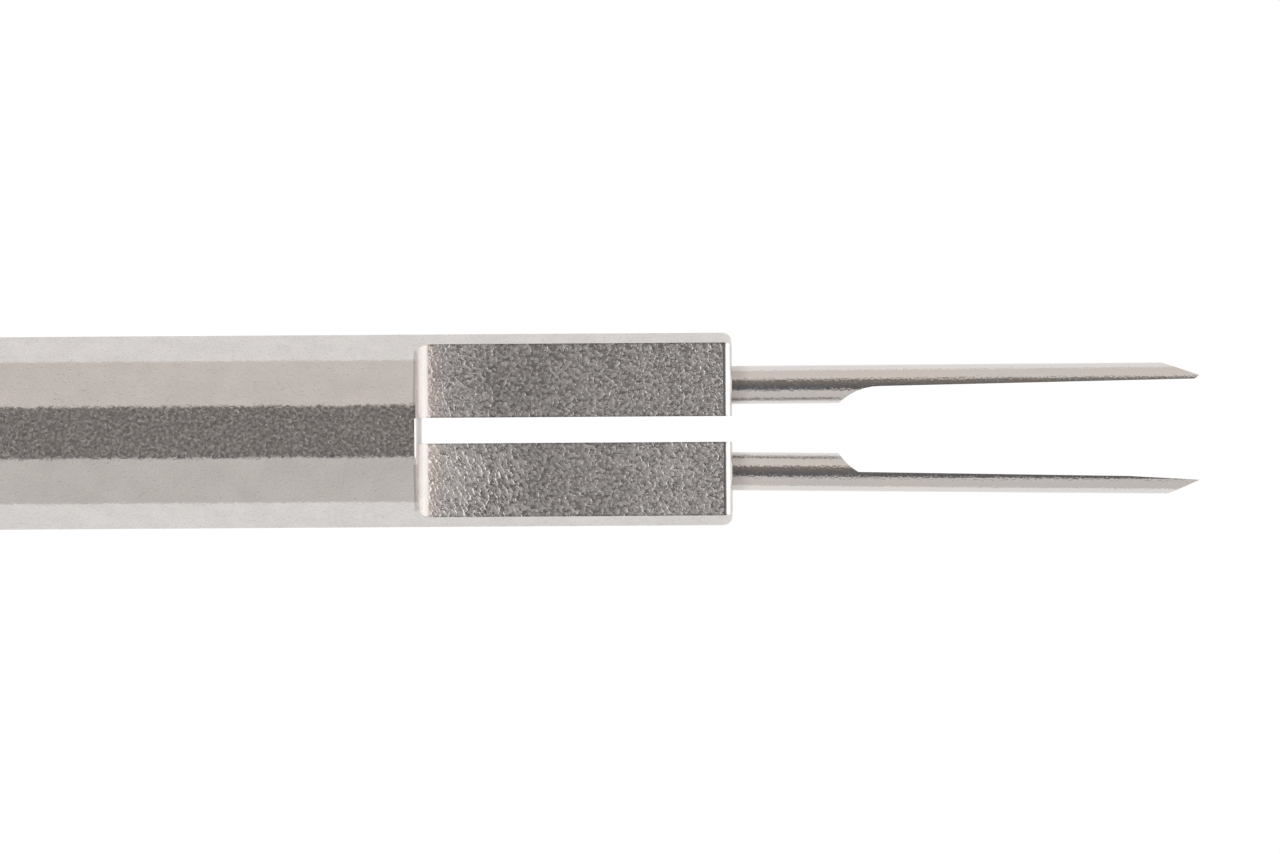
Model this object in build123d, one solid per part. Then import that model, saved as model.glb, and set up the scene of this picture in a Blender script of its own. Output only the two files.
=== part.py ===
from build123d import *
import math
import os

# Spring bar tool: a twelve-sided steel bar whose front end is a milled, slotted head with two
# half-ground needles, and whose rear end carries a push pin in a small screw chuck.
# Millimetres. +X points to the needle tips, +Z is up, and the tool lies on its lowest facet at Z = 0.
# Pieces are drawn about the tool's axis, with X = 0 at the head's end face, and placed at the end.

# Bar
across_flats = 6.0
bar_sides = 12
long_edge_radius = 0.3
bar_length = 100.0              # from the head's end face to the rear shoulder
rear_chamfer = 0.45

# Milled head
head_length = 9.78              # from the shoulder to the end face
head_thickness = 2.7
head_foot_radius = 0.48         # concave fillet at the foot of the shoulder
head_end_radius = 0.28
slot_width = 0.8
slot_length = 9.75
burr_bevel = 0.035              # hand-filed bevel on part of the shoulder's top edge
burr_bevel_from = -1.03         # across the tool, in Y
burr_bevel_to = 0.38

# Needles
needle_diameter = 1.2
left_needle_offset = 1.37       # from the tool's axis, at the head's end face
right_needle_offset = 1.325
needle_length = 14.57           # outside the head
needle_depth = 7.0              # inside the head
left_needle_lean = 0.1          # degrees, outwards
right_needle_lean = 0.8
wheel_radius = 1.75             # grinding wheel, in the plan of its hollow run-outs
run_out_excess = 0.25           # how far a run-out is drawn past the needle's round
left_face_start = 4.59          # where the ground face begins, from the head's end face
right_face_start = 3.93
right_run_out_start = 3.18      # where the right needle's run-out is drawn from
left_face = (-0.075, 0.08)      # ground face, outwards from the axis: at its start, at the nose
right_face = (-0.01, 0.05)
left_point = (1.15, 0.19, 0.15)     # outer bevel's length, the point outwards from the axis, nose
right_point = (0.97, 0.15, 2.2)

# Rear chuck
spigot_diameter = 4.5           # screw spigot on the bar, M4.5 x 0.5, drawn plain
spigot_length = 6.0
collet_bore_diameter = 2.6
collet_bore_depth = 10.5        # from the spigot's end
pin_bore_diameter = 1.04
pin_bore_depth = 14.0           # from the spigot's end
running_clearance = 0.05        # radial, on the thread, the collet's tail and its cone
collet_gap = 0.2                # between the spigot's end and the collet's head
collet_head_diameter = 3.2
collet_nose_diameter = 1.9
collet_cone_length = 2.8
collet_slit = 0.25
collet_slit_length = 10.0
nut_gap = 0.15                  # between the bar's rear shoulder and the nut
nut_diameter = 5.8
nut_grip_length = 7.0
nut_nose_length = 4.0
nut_nose_diameter = 2.6
nut_neck_diameter = 4.9
nut_mouth_diameter = 1.3
nut_edge_chamfer = 0.25
knurl_grooves = 28
knurl_depth = 0.16

# Push pin
pin_diameter = 1.0
pin_reach = 7.0                 # outside the nut
pin_tip_diameter = 0.7
pin_tip_length = 2.2
pin_step_length = 0.35
pin_end_chamfer = 0.1

margin = 1.0                    # how far cutting tools run past what they cut
axis_height = across_flats / 2
spigot_end = -bar_length - spigot_length
collet_head_x = spigot_end - collet_gap
collet_nose_x = collet_head_x - collet_cone_length
nut_front_x = -bar_length - nut_gap
nut_grip_x = nut_front_x - nut_grip_length
nut_nose_x = nut_grip_x - nut_nose_length
pin_end_x = nut_nose_x - pin_reach
centre_x = (needle_length + pin_end_x) / 2


def rod(x_from, x_to, diameter):
    """A cylinder along the tool's axis."""
    middle = (x_from + x_to) / 2
    return Pos(middle, 0, 0) * Rot(0, 90, 0) * Cylinder(diameter / 2, abs(x_to - x_from))


def block(x_from, x_to, y_from, y_to, z_from, z_to):
    """A box between the given planes."""
    middle = Pos((x_from + x_to) / 2, (y_from + y_to) / 2, (z_from + z_to) / 2)
    return middle * Box(x_to - x_from, y_to - y_from, z_to - z_from)


def turned(outline):
    """A solid of revolution about the tool's axis, from (x, radius) points."""
    return revolve(make_face(Polyline(*outline, close=True)), Axis.X)


def faceted_bar():
    """The twelve-sided stock with rounded long edges and a turned chamfer at the rear."""
    outline = RegularPolygon(across_flats / 2, bar_sides, major_radius=False, rotation=180 / bar_sides)
    outline = fillet(outline.vertices(), long_edge_radius)
    stock = Pos(-bar_length, 0, 0) * extrude(Plane.YZ * outline, bar_length)
    full = across_flats
    rear_radius = across_flats / 2 - rear_chamfer
    slope_end = -bar_length + (full - rear_radius)
    envelope = turned([(-bar_length, 0), (-bar_length, rear_radius), (slope_end, full), (0, full), (0, 0)])
    return stock & envelope


def flat_cutter():
    """What the mill removes above the head, with the cutter's corner radius at the shoulder's foot."""
    half = head_thickness / 2
    cutter = block(-head_length, margin, -across_flats, across_flats, half, across_flats)
    foot = cutter.edges().filter_by(Axis.Y).sort_by(Axis.X)[:2].sort_by(Axis.Z)[0]
    return fillet(foot, head_foot_radius)


def burr_cutter():
    """The short filed bevel on the shoulder's top edge."""
    side = burr_bevel * math.sqrt(2)
    width = burr_bevel_to - burr_bevel_from
    middle = (burr_bevel_to + burr_bevel_from) / 2
    return Pos(-head_length, middle, across_flats / 2) * Rot(0, 45, 0) * Box(side, width, side)


left_needle_place = Pos(0, left_needle_offset, 0) * Rot(0, 0, left_needle_lean)
right_needle_place = Pos(0, -right_needle_offset, 0) * Rot(0, 0, -right_needle_lean)


def handle_bar():
    """Bar, milled and slotted head, screw spigot, needle holes and chuck bores, all in one piece."""
    bar = faceted_bar()
    above = flat_cutter()
    bar -= above
    bar -= mirror(above, Plane.XY)
    bar = fillet(bar.faces().sort_by(Axis.X)[-1].edges(), head_end_radius)
    bar -= block(-slot_length, margin, -slot_width / 2, slot_width / 2, -across_flats, across_flats)
    bar -= burr_cutter()
    for place in (left_needle_place, right_needle_place):
        bar -= place * rod(-needle_depth, margin, needle_diameter)
    bar += rod(-bar_length, spigot_end, spigot_diameter)
    bar -= rod(spigot_end, spigot_end + collet_bore_depth, collet_bore_diameter)
    bar -= rod(spigot_end, spigot_end + pin_bore_depth, pin_bore_diameter)
    return bar


def needle_outline(run_out, face, point):
    """Plan of a needle with its outer side towards +Y; run_out leads from the round to the face."""
    wide = needle_diameter / 2 + margin
    bevel_length, point_offset, nose_length = point
    bevel_run = bevel_length / (needle_diameter / 2 - point_offset)
    bevel_x = needle_length - bevel_run * (wide - point_offset)
    rest = Polyline(
        run_out @ 0,
        (needle_length - nose_length, face[1]),
        (needle_length, point_offset),
        (bevel_x, wide),
        (-needle_depth, wide),
        (-needle_depth, -wide),
        run_out @ 1,
    )
    return make_face(run_out + rest)


def left_run_out():
    """Hollow left by the grinding wheel, from the face back and out of the round."""
    drop = left_face[0] + needle_diameter / 2 + run_out_excess
    run = math.sqrt(wheel_radius ** 2 - (wheel_radius - drop) ** 2)
    start = (left_face_start, left_face[0])
    end = (left_face_start - run, left_face[0] - drop)
    return TangentArc(start, end, tangent=(-1, 0))


def right_run_out():
    """The same wheel's hollow, stopped early, so that it meets the face at an angle."""
    start = (right_face_start, right_face[0])
    end = (right_run_out_start, -needle_diameter / 2 - run_out_excess)
    return RadiusArc(start, end, -wheel_radius)


def needle(run_out, face, point):
    """A round pin with its inner side ground away and a bevelled point, outer side towards +Y."""
    plan = extrude(needle_outline(run_out, face, point), needle_diameter, both=True)
    return rod(-needle_depth, needle_length, needle_diameter) & plan


def needle_left():
    return left_needle_place * needle(left_run_out(), left_face, left_point)


def needle_right():
    outer_side_up = needle(right_run_out(), right_face, right_point)
    return right_needle_place * mirror(outer_side_up, Plane.XZ)


def push_pin():
    """Straight pusher with a stepped-down end; its inner end stands on the bottom of the bar's bore."""
    r = pin_diameter / 2
    tip_r = pin_tip_diameter / 2
    step_x = pin_end_x + pin_tip_length
    return turned([
        (spigot_end + pin_bore_depth, 0),
        (spigot_end + pin_bore_depth, r),
        (step_x + pin_step_length, r),
        (step_x, tip_r),
        (pin_end_x + pin_end_chamfer, tip_r),
        (pin_end_x, tip_r - pin_end_chamfer),
        (pin_end_x, 0),
    ])


def collet():
    """Tail in the bar's bore, coned head outside it, split into four jaws."""
    tail_r = collet_bore_diameter / 2 - running_clearance
    body = turned([
        (spigot_end + collet_bore_depth, 0),
        (spigot_end + collet_bore_depth, tail_r),
        (collet_head_x, tail_r),
        (collet_head_x, collet_head_diameter / 2),
        (collet_nose_x, collet_nose_diameter / 2),
        (collet_nose_x, 0),
    ])
    body -= rod(collet_nose_x - margin, spigot_end + collet_bore_depth + margin, pin_bore_diameter)
    slit_from = collet_nose_x - margin
    slit_to = collet_nose_x + collet_slit_length
    half = collet_slit / 2
    body -= block(slit_from, slit_to, -half, half, -across_flats, across_flats)
    body -= block(slit_from, slit_to, -across_flats, across_flats, -half, half)
    return body


def knurled_grip():
    """Grip of the nut: chamfered cylinder with straight V grooves."""
    r = nut_diameter / 2
    grip = turned([
        (nut_front_x, 0),
        (nut_front_x, r - nut_edge_chamfer),
        (nut_front_x - nut_edge_chamfer, r),
        (nut_grip_x + nut_edge_chamfer, r),
        (nut_grip_x, r - nut_edge_chamfer),
        (nut_grip_x, 0),
    ])
    side = knurl_depth * math.sqrt(2)
    groove = Pos((nut_front_x + nut_grip_x) / 2, 0, r) * Rot(45, 0, 0)
    groove = groove * Box(nut_grip_length + margin, side, side)
    for i in range(knurl_grooves):
        grip -= Rot(i * 360 / knurl_grooves, 0, 0) * groove
    return grip


def chuck_nut():
    """Knurled grip, tapered nose, screw bore and the cone that closes the collet."""
    nut = knurled_grip()
    nut += turned([
        (nut_grip_x, 0),
        (nut_grip_x, nut_neck_diameter / 2),
        (nut_nose_x, nut_nose_diameter / 2),
        (nut_nose_x, 0),
    ])
    nut -= rod(nut_front_x + margin, collet_head_x, spigot_diameter + 2 * running_clearance)
    nut -= turned([
        (collet_head_x, 0),
        (collet_head_x, collet_head_diameter / 2 + running_clearance),
        (collet_nose_x, collet_nose_diameter / 2 + running_clearance),
        (collet_nose_x, 0),
    ])
    nut -= rod(collet_nose_x, nut_nose_x - margin, nut_mouth_diameter)
    return nut


pieces = {
    "handle_bar": handle_bar(),
    "needle_left": needle_left(),
    "needle_right": needle_right(),
    "push_pin": push_pin(),
    "collet": collet(),
    "chuck_nut": chuck_nut(),
}

os.makedirs("parts", exist_ok=True)
for name, piece in pieces.items():
    placed = Pos(-centre_x, 0, axis_height) * piece
    export_step(placed, f"parts/{name}.step")
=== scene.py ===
"""Looks of the spring bar tool: steel materials, a light table, a light tent and the camera."""

import math

import bpy
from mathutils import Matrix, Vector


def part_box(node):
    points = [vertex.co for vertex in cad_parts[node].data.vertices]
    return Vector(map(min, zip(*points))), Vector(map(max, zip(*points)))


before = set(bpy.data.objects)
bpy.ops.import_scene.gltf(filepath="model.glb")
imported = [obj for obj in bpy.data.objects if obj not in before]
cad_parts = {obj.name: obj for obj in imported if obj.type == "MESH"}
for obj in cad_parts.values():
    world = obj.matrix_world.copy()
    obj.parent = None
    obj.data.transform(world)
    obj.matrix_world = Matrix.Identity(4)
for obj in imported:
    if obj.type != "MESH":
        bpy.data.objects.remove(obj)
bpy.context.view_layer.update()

MM = 0.001

# Places along and across the tool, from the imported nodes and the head's own sizes
bar_low, bar_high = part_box("handle_bar")
head_end_x = bar_high.x
axis_z = (bar_low.z + bar_high.z) / 2
head_length = 9.78 * MM
head_end_radius = 0.28 * MM
slot_width = 0.8 * MM
flat_width = 5.37 * MM          # across both of the head's flats, slot included
burr_from = -1.03 * MM          # the filed stretch of the shoulder's top edge, in Y
burr_to = 0.38 * MM
shoulder_x = head_end_x - head_length


# ---------------------------------------------------------------- node helpers

def new_material(name):
    material = bpy.data.materials.new(name)
    material.use_nodes = True
    material.node_tree.nodes.clear()
    return material, Nodes(material.node_tree)


class Nodes:
    """Short ways to add and join shader nodes in one tree."""

    def __init__(self, tree):
        self.tree = tree

    def add(self, kind, inputs=None, **settings):
        node = self.tree.nodes.new("ShaderNode" + kind)
        for key, value in settings.items():
            setattr(node, key, value)
        for key, value in (inputs or {}).items():
            self.feed(node.inputs[key], value)
        return node

    def feed(self, socket, value):
        if isinstance(value, bpy.types.NodeSocket):
            self.tree.links.new(value, socket)
        else:
            socket.default_value = value

    def math(self, operation, a, b=0.0, clamp=False):
        node = self.add("Math", {0: a, 1: b}, operation=operation, use_clamp=clamp)
        return node.outputs[0]

    def ramp(self, value, low, high, out_low=0.0, out_high=1.0, kind="SMOOTHSTEP"):
        """Smooth (or linear) step of value from low..high to out_low..out_high."""
        node = self.add("MapRange", {0: value, 1: low, 2: high, 3: out_low, 4: out_high},
                        interpolation_type=kind)
        return node.outputs[0]

    def window(self, value, low, high, edge):
        """1 between low and high, falling to 0 over edge on either side."""
        rise = self.ramp(value, low - edge, low)
        fall = self.ramp(value, high, high + edge, 1.0, 0.0)
        return self.math("MULTIPLY", rise, fall)

    def mix(self, factor, a, b):
        """Mix of two colours."""
        node = self.add("Mix", data_type="RGBA")
        self.feed(node.inputs[0], factor)
        self.feed(node.inputs[6], a)
        self.feed(node.inputs[7], b)
        return node.outputs[2]

    def shade(self, colour, tone):
        """Colour times a number."""
        grey = self.add("CombineColor", {0: tone, 1: tone, 2: tone}).outputs[0]
        node = self.add("Mix", {0: 1.0}, data_type="RGBA", blend_type="MULTIPLY")
        self.feed(node.inputs[6], colour)
        self.feed(node.inputs[7], grey)
        return node.outputs[2]

    def blend(self, factor, a, b):
        """Mix of two numbers."""
        node = self.add("Mix", {0: factor, 2: a, 3: b}, data_type="FLOAT")
        return node.outputs[0]

    def noise(self, place, size, detail=2.0, roughness=0.5, distortion=0.0):
        """Noise whose features are about size across, in metres."""
        node = self.add("TexNoise", {
            "Vector": place, "Scale": 1.0 / size, "Detail": detail,
            "Roughness": roughness, "Distortion": distortion})
        return node.outputs[0]

    def stretched(self, place, scale, turn=0.0):
        """The place turned about Z and then scaled along each axis."""
        turned = self.add("VectorRotate", {"Vector": place, "Angle": turn}, rotation_type="Z_AXIS")
        node = self.add("Mapping", {"Vector": turned.outputs[0], "Scale": scale})
        return node.outputs[0]

    def metal(self, colour, roughness, relief, depth):
        """Bare metal with a bump of the given depth, joined to the output."""
        bump = self.add("Bump", {"Strength": 1.0, "Distance": depth, "Height": relief})
        shader = self.add("BsdfPrincipled", {
            "Base Color": colour, "Metallic": 1.0, "Roughness": roughness,
            "Normal": bump.outputs[0]})
        output = self.add("OutputMaterial")
        self.feed(output.inputs[0], shader.outputs[0])


# ---------------------------------------------------------------- materials

def milled_flats(n, place, along, across):
    """Height, bump depth and roughness of the head's two flats."""
    pits = n.noise(place, 0.118 * MM, detail=2.0, roughness=0.5, distortion=0.25)

    # Slanting furrows of the cutter by the shoulder and near the end, mostly on the right-hand flat
    slanted = n.stretched(place, (1.0, 0.4, 1.0), turn=math.radians(-27))
    feed = n.noise(slanted, 0.12 * MM, detail=1.0, distortion=0.3)
    by_shoulder = n.window(along, shoulder_x + 0.5 * MM, shoulder_x + 2.8 * MM, 0.8 * MM)
    by_end = n.window(along, head_end_x - 2.8 * MM, head_end_x - 1.7 * MM, 0.6 * MM)
    where = n.math("ADD", by_shoulder, n.math("MULTIPLY", by_end, 0.6))
    where = n.math("MULTIPLY", where, n.ramp(across, -1.0 * MM, 1.0 * MM, 1.0, 0.15))
    furrows = n.math("MULTIPLY", n.math("SUBTRACT", feed, 0.5), 1.2)
    height = n.math("ADD", pits, n.math("MULTIPLY", where, furrows))

    # Deeper by the shoulder and towards the end of the head
    near_end = n.ramp(along, head_end_x - 6 * MM, head_end_x, 0.85, 1.1)
    near_foot = n.ramp(along, shoulder_x + 0.6 * MM, shoulder_x + 2.8 * MM, 0.45, 0.0)
    depth = n.math("MULTIPLY", n.math("ADD", near_end, near_foot), 0.050 * MM)

    # Cloudy, rougher at the foot of the shoulder and smoother on the left-hand flat
    rough = n.ramp(height, 0.28, 0.72, 0.10, 0.55, kind="LINEAR")
    clouds = n.ramp(n.noise(place, 1.3 * MM), 0.3, 0.7, -0.04, 0.04)
    foot = n.ramp(along, shoulder_x + 0.3 * MM, shoulder_x + 1.1 * MM, 0.14, 0.0)
    run_out = n.ramp(along, shoulder_x, shoulder_x + 2.8 * MM, 0.03, 0.0)
    left_hand = n.ramp(across, -1.0 * MM, 1.0 * MM, 0.0, -0.03)
    for part in (clouds, foot, run_out, left_hand):
        rough = n.math("ADD", rough, part)
    return height, depth, rough


def steel_tone_and_painted_light(n, place, along, across, is_flat, is_front):
    """Darker and brighter places of the bar's steel, about 1, with a painted reflection and a
    painted highlight at the shoulder.
    """
    stain = n.ramp(n.noise(place, 0.8 * MM, detail=3.0), 0.25, 0.75, 0.96, 1.04)

    # Dark lip of the shoulder, except where it is filed
    filed = n.window(across, burr_from, burr_to, 0.03 * MM)
    lip = n.window(along, shoulder_x - 0.06 * MM, shoulder_x - 0.03 * MM, 0.04 * MM)
    lip = n.math("MULTIPLY", lip, n.window(across, -2.4 * MM, 2.4 * MM, 0.2 * MM))
    lip = n.math("MULTIPLY", lip, n.math("SUBTRACT", 1.0, filed))

    # Dark sharp edges of the flats
    from_slot = n.math("SUBTRACT", n.math("ABSOLUTE", across), slot_width / 2)
    from_side = n.math("SUBTRACT", flat_width / 2, n.math("ABSOLUTE", across))
    edge = n.ramp(n.math("MINIMUM", from_slot, from_side), 0.02 * MM, 0.07 * MM, 0.72, 1.0)
    tone = n.math("MULTIPLY", stain, n.blend(is_flat, n.blend(lip, 1.0, 0.7), edge))

    # Painted reflection of the floor on the stretch of the wall where the burr was filed off, and a
    # painted highlight of the lamp on the fillet at the wall's foot
    painted_filed_reflection = n.math("MULTIPLY", filed, n.window(along, shoulder_x - 0.05 * MM, shoulder_x, 0.03 * MM))
    painted_fillet_highlight = n.window(along, shoulder_x + 0.05 * MM, shoulder_x + 0.10 * MM, 0.03 * MM)
    painted_highlights = n.math("ADD", n.math("MULTIPLY", painted_filed_reflection, 0.42), n.math("MULTIPLY", painted_fillet_highlight, 0.2))
    return n.math("MULTIPLY", tone, n.math("ADD", 1.0, n.math("MULTIPLY", painted_highlights, is_front)))


def bar_steel():
    """Satin facets, milled and pitted flats on the head, smoother where the steel faces forward."""
    material, n = new_material("bar_steel")
    coordinates = n.add("TexCoord")
    place = coordinates.outputs["Object"]
    along, across, _ = n.add("SeparateXYZ", {0: place}).outputs
    forward, _, up = n.add("SeparateXYZ", {0: coordinates.outputs["Normal"]}).outputs
    facing_up = n.math("GREATER_THAN", n.math("ABSOLUTE", up), 0.9)
    is_head = n.math("GREATER_THAN", along, shoulder_x)
    is_flat = n.math("MULTIPLY", is_head, facing_up)
    is_end = n.math("GREATER_THAN", along, head_end_x - head_end_radius)
    is_front = n.ramp(forward, 0.12, 0.36)

    # Satin grain of the drawn facets, then the flats, the forward-facing steel and the rounded end
    grain = n.noise(place, 0.10 * MM, detail=1.5, distortion=0.4)
    satin = n.ramp(grain, 0.26, 0.74, 0.12, 0.46, kind="LINEAR")
    flat_height, flat_depth, flat_rough = milled_flats(n, place, along, across)
    rough = n.blend(is_flat, satin, flat_rough)
    rough = n.blend(is_front, rough, 0.43)
    rough = n.blend(is_end, rough, 0.17)
    relief = n.blend(is_flat, grain, flat_height)
    depth = n.blend(is_flat, 0.026 * MM, flat_depth)
    depth = n.blend(n.math("MAXIMUM", is_front, is_end), depth, 0.003 * MM)

    # Painted reflection: the flats are made warmer and lighter at the foot of the shoulder, where
    # they mirror the bright wall
    foot_reflection = n.ramp(along, shoulder_x + 0.40 * MM, shoulder_x + 0.85 * MM, 1.0, 0.0)
    flats = n.mix(foot_reflection, (0.61, 0.59, 0.58, 1), (0.72, 0.66, 0.625, 1))
    base = n.mix(is_flat, (0.635, 0.605, 0.585, 1), flats)
    # Stains and dark edges, with the painted reflection and highlight at the shoulder
    tone = steel_tone_and_painted_light(n, place, along, across, is_flat, is_front)
    n.metal(n.shade(base, tone), rough, relief, depth)
    return material


def ground_steel():
    """Centreless-ground needles and pin: fine even grain, faint streaks, darker by the head from a
    stain and painted shade.
    """
    material, n = new_material("ground_steel")
    place = n.add("TexCoord").outputs["Object"]
    along, _, _ = n.add("SeparateXYZ", {0: place}).outputs
    grain = n.noise(place, 0.065 * MM, detail=1.0)
    streaks = n.noise(n.stretched(place, (0.07, 1.0, 1.0)), 0.09 * MM)
    relief = n.math("ADD", grain, n.math("MULTIPLY", streaks, 0.4))
    rough = n.ramp(grain, 0.28, 0.72, 0.08, 0.28, kind="LINEAR")
    tinge = n.ramp(n.noise(n.stretched(place, (0.2, 1.0, 1.0)), 0.5 * MM), 0.35, 0.65)
    colour = n.mix(tinge, (0.685, 0.645, 0.62, 1), (0.66, 0.64, 0.63, 1))
    # Darker by the head: a stain, and painted shade where the needles leave the head
    stain_and_shade_by_head = n.window(along, head_end_x, head_end_x + 0.15 * MM, 0.5 * MM)
    n.metal(n.shade(colour, n.blend(stain_and_shade_by_head, 1.0, 0.8)), rough, relief, 0.008 * MM)
    return material


def polished_steel(name, colour, roughness, grain_size, grain_depth):
    """Turned or ground steel with a fine lengthwise grain."""
    material, n = new_material(name)
    place = n.add("TexCoord").outputs["Object"]
    grain = n.noise(n.stretched(place, (0.25, 1.0, 1.0)), grain_size, detail=2.0)
    smudge = n.noise(place, 0.9 * MM, detail=2.0)
    rough = n.ramp(smudge, 0.3, 0.7, roughness * 0.8, roughness * 1.25)
    tone = n.ramp(smudge, 0.2, 0.8, 0.95, 1.03)
    n.metal(n.shade((*colour, 1.0), tone), rough, grain, grain_depth)
    return material


def give(node, material):
    """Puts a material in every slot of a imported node's object."""
    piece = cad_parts[node]
    if not piece.material_slots:
        piece.data.materials.append(material)
    for slot in piece.material_slots:
        slot.material = material


give("handle_bar", bar_steel())
needle_steel = ground_steel()
for node in ("needle_left", "needle_right", "push_pin"):
    give(node, needle_steel)
give("collet", polished_steel("collet_steel", (0.40, 0.39, 0.39), 0.25, 0.08 * MM, 0.001 * MM))
give("chuck_nut", polished_steel("nut_steel", (0.62, 0.59, 0.57), 0.18, 0.09 * MM, 0.0015 * MM))


# ---------------------------------------------------------------- light table, tent and camera

def light_table():
    """A pale floor lit from beneath, so the tool throws no shadow on it."""
    half = 2.0
    gap = 0.05 * MM                 # below the tool, so that the two never share a plane
    corners = [(-half, -half, 0), (half, -half, 0), (half, half, 0), (-half, half, 0)]
    mesh = bpy.data.meshes.new("light_table")
    mesh.from_pydata(corners, [], [(0, 1, 2, 3)])
    table = bpy.data.objects.new("light_table", mesh)
    bpy.context.scene.collection.objects.link(table)
    table.location.z = -gap
    material, n = new_material("light_table")
    shader = n.add("BsdfPrincipled", {
        "Base Color": (0.03, 0.03, 0.03, 1), "Roughness": 0.9,
        "Emission Color": (1.0, 1.0, 1.0, 1), "Emission Strength": 1.0})
    output = n.add("OutputMaterial")
    n.feed(output.inputs[0], shader.outputs[0])
    mesh.materials.append(material)


def height_at(angle):
    """Height on the unit sphere at an angle from the zenith, in degrees."""
    return math.cos(math.radians(angle))


def light_tent():
    """World light: pale walls, a lamp beyond the needles, dimmer behind, a dark opening overhead."""
    world = bpy.data.worlds.new("light_tent")
    bpy.context.scene.world = world
    world.use_nodes = True
    world.node_tree.nodes.clear()
    n = Nodes(world.node_tree)
    direction = n.add("SeparateXYZ", {0: n.add("TexCoord").outputs["Generated"]})
    along, across, up = direction.outputs

    # Walls: warmer on the left, brighter round the opening, dimmer at the floor and behind
    walls = n.mix(n.ramp(across, -0.9, 0.9), (0.76, 0.735, 0.72, 1), (0.85, 0.805, 0.775, 1))
    rim = n.ramp(up, height_at(52), height_at(38), 1.0, 1.08)
    seam = n.ramp(up, 0.0, 0.14, 0.78, 1.0)
    behind = n.ramp(along, -0.95, -0.35, 0.45, 1.0)
    shading = n.math("MULTIPLY", n.math("MULTIPLY", rim, seam), behind)
    lamp = n.math("MULTIPLY", n.ramp(along, 0.42, 0.70), n.window(across, -0.35, 0.35, 0.25))
    walls = n.mix(lamp, n.shade(walls, shading), (1.85, 1.85, 1.85, 1))

    # The dark ceiling seen through the opening
    ceiling = n.mix(n.ramp(across, -0.35, 0.4), (0.14, 0.14, 0.15, 1), (0.25, 0.225, 0.205, 1))
    opening = n.ramp(up, height_at(36), height_at(27))
    background = n.add("Background", {"Color": n.mix(opening, walls, ceiling), "Strength": 1.0})
    output = n.add("OutputWorld")
    n.feed(output.inputs[0], background.outputs[0])


def camera():
    """Straight down on the front of the tool, the handle running out of the picture on the left."""
    distance = 0.200
    frame_width = 40.0 * MM
    middle = (head_end_x - 2.87 * MM, 0.075 * MM)
    turn = math.radians(-0.367)
    data = bpy.data.cameras.new("camera")
    data.sensor_width = 36.0
    data.lens = data.sensor_width * distance / frame_width
    data.clip_start = 0.01
    data.clip_end = 10.0
    eye = bpy.data.objects.new("camera", data)
    eye.location = (*middle, axis_z + distance)
    eye.rotation_euler = (0.0, 0.0, turn)
    bpy.context.scene.collection.objects.link(eye)
    bpy.context.scene.camera = eye


light_table()
light_tent()
camera()
bpy.context.scene.view_settings.view_transform = "Standard"
